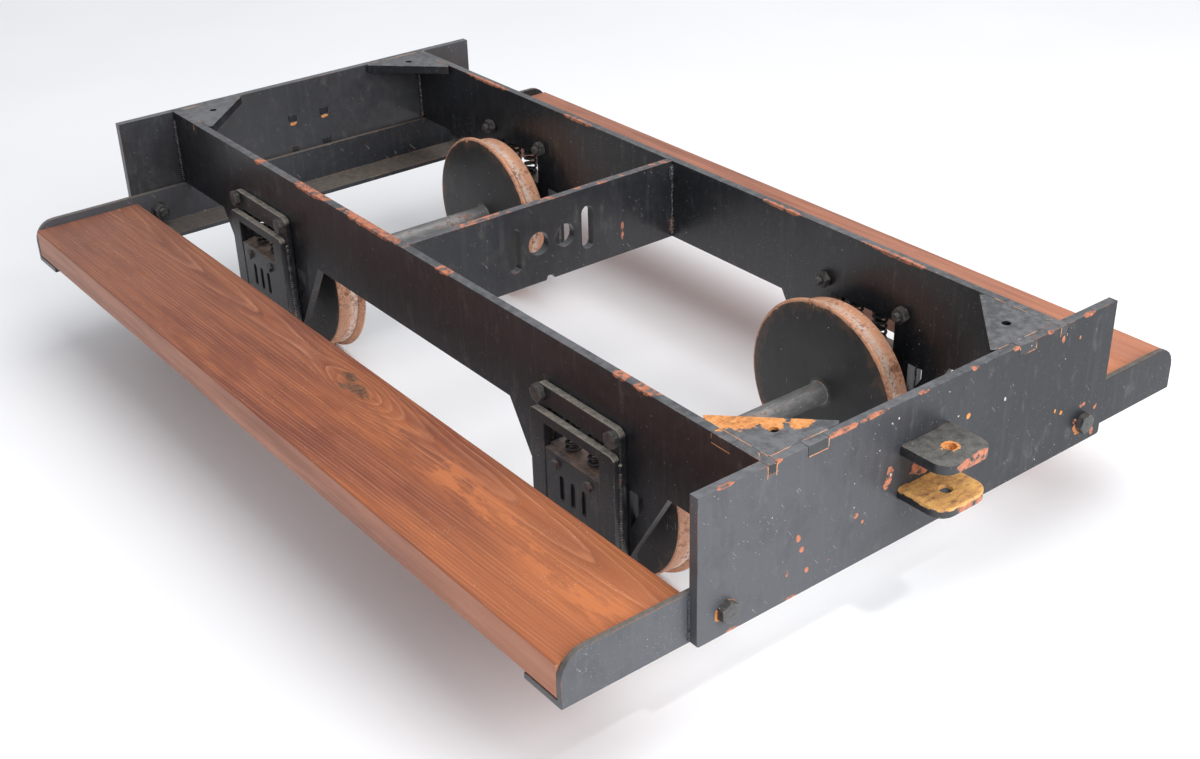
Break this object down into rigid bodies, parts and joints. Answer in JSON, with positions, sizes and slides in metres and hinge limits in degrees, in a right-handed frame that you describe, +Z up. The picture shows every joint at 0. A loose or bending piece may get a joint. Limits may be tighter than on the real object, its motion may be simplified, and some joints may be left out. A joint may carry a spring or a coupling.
{
  "type": "ride-on railway wagon chassis",
  "caption": "Plate-framed chassis of a miniature ride-on railway wagon, with sprung flanged wheels, a clevis at each end and wooden footboards along the sides.",
  "frame": {"origin": "middle of the object on the floor, level with the lowest point of the wheel flanges", "axes": "+X across the track to the right, +Y along the wagon from front to rear end, +Z up"},
  "size_m": [0.806, 1.25, 0.264],
  "materials": {
    "frame_paint": "satin black paint, dusty, chipped and rusting at edges",
    "bolt_steel": "black painted steel fasteners with light rust",
    "spring_steel": "dark spring steel",
    "axle_steel": "dull dark steel with brown rust",
    "wheel_iron": "black faces, rusty brown tread and flange",
    "board_wood": "red-brown stained softwood, dry and dusty"
  },
  "bodies": {
    "chassis": {"side_plate_left": "frame_paint", "side_plate_right": "frame_paint", "footboard_left": "board_wood", "footboard_right": "board_wood", "centre_stretcher": "frame_paint", "end_beam_front": "frame_paint", "footboard_carrier_front": "frame_paint", "coupling_ear_upper_front": "frame_paint", "coupling_ear_lower_front": "frame_paint", "end_beam_rear": "frame_paint", "footboard_carrier_rear": "frame_paint", "coupling_ear_upper_rear": "frame_paint", "coupling_ear_lower_rear": "frame_paint", "corner_gusset_front_left": "frame_paint", "carrier_bolt_front_left": "bolt_steel", "horn_plate_front_left": "frame_paint", "horn_guide_front_left": "frame_paint", "horn_bolt_front_left_a": "bolt_steel", "spring_front_left_a": "spring_steel", "horn_bolt_front_left_b": "bolt_steel", "spring_front_left_b": "spring_steel", "corner_gusset_front_right": "frame_paint", "carrier_bolt_front_right": "bolt_steel", "horn_plate_front_right": "frame_paint", "horn_guide_front_right": "frame_paint", "horn_bolt_front_right_a": "bolt_steel", "spring_front_right_a": "spring_steel", "horn_bolt_front_right_b": "bolt_steel", "spring_front_right_b": "spring_steel", "corner_gusset_rear_left": "frame_paint", "carrier_bolt_rear_left": "bolt_steel", "horn_plate_rear_left": "frame_paint", "horn_guide_rear_left": "frame_paint", "horn_bolt_rear_left_a": "bolt_steel", "spring_rear_left_a": "spring_steel", "horn_bolt_rear_left_b": "bolt_steel", "spring_rear_left_b": "spring_steel", "corner_gusset_rear_right": "frame_paint", "carrier_bolt_rear_right": "bolt_steel", "horn_plate_rear_right": "frame_paint", "horn_guide_rear_right": "frame_paint", "horn_bolt_rear_right_a": "bolt_steel", "spring_rear_right_a": "spring_steel", "horn_bolt_rear_right_b": "bolt_steel", "spring_rear_right_b": "spring_steel"},
    "front_axleboxes": {"axlebox_front_left": "frame_paint", "axlebox_front_right": "frame_paint"},
    "rear_axleboxes": {"axlebox_rear_left": "frame_paint", "axlebox_rear_right": "frame_paint"},
    "front_wheelset": {"wheel_front_left": "wheel_iron", "wheel_front_right": "wheel_iron", "axle_front": "axle_steel"},
    "rear_wheelset": {"wheel_rear_left": "wheel_iron", "wheel_rear_right": "wheel_iron", "axle_rear": "axle_steel"}
  },
  "joints": [
    {"name": "front_suspension", "type": "slide", "parent": "chassis", "child": "front_axleboxes", "axis": [0, 0, 1], "range_m": [0, 0.01], "stiffness_N_per_m": 200000, "springref_m": -0.002, "deforming": ["spring_front_left_a", "spring_front_left_b", "spring_front_right_a", "spring_front_right_b"]},
    {"name": "front_wheels_roll", "type": "hinge", "parent": "front_axleboxes", "child": "front_wheelset", "pos_m": [0, -0.321, 0.106], "axis": [1, 0, 0], "continuous": true},
    {"name": "rear_suspension", "type": "slide", "parent": "chassis", "child": "rear_axleboxes", "axis": [0, 0, 1], "range_m": [0, 0.01], "stiffness_N_per_m": 200000, "springref_m": -0.002, "deforming": ["spring_rear_left_a", "spring_rear_left_b", "spring_rear_right_a", "spring_rear_right_b"]},
    {"name": "rear_wheels_roll", "type": "hinge", "parent": "rear_axleboxes", "child": "rear_wheelset", "pos_m": [0, 0.321, 0.106], "axis": [1, 0, 0], "continuous": true}
  ]
}
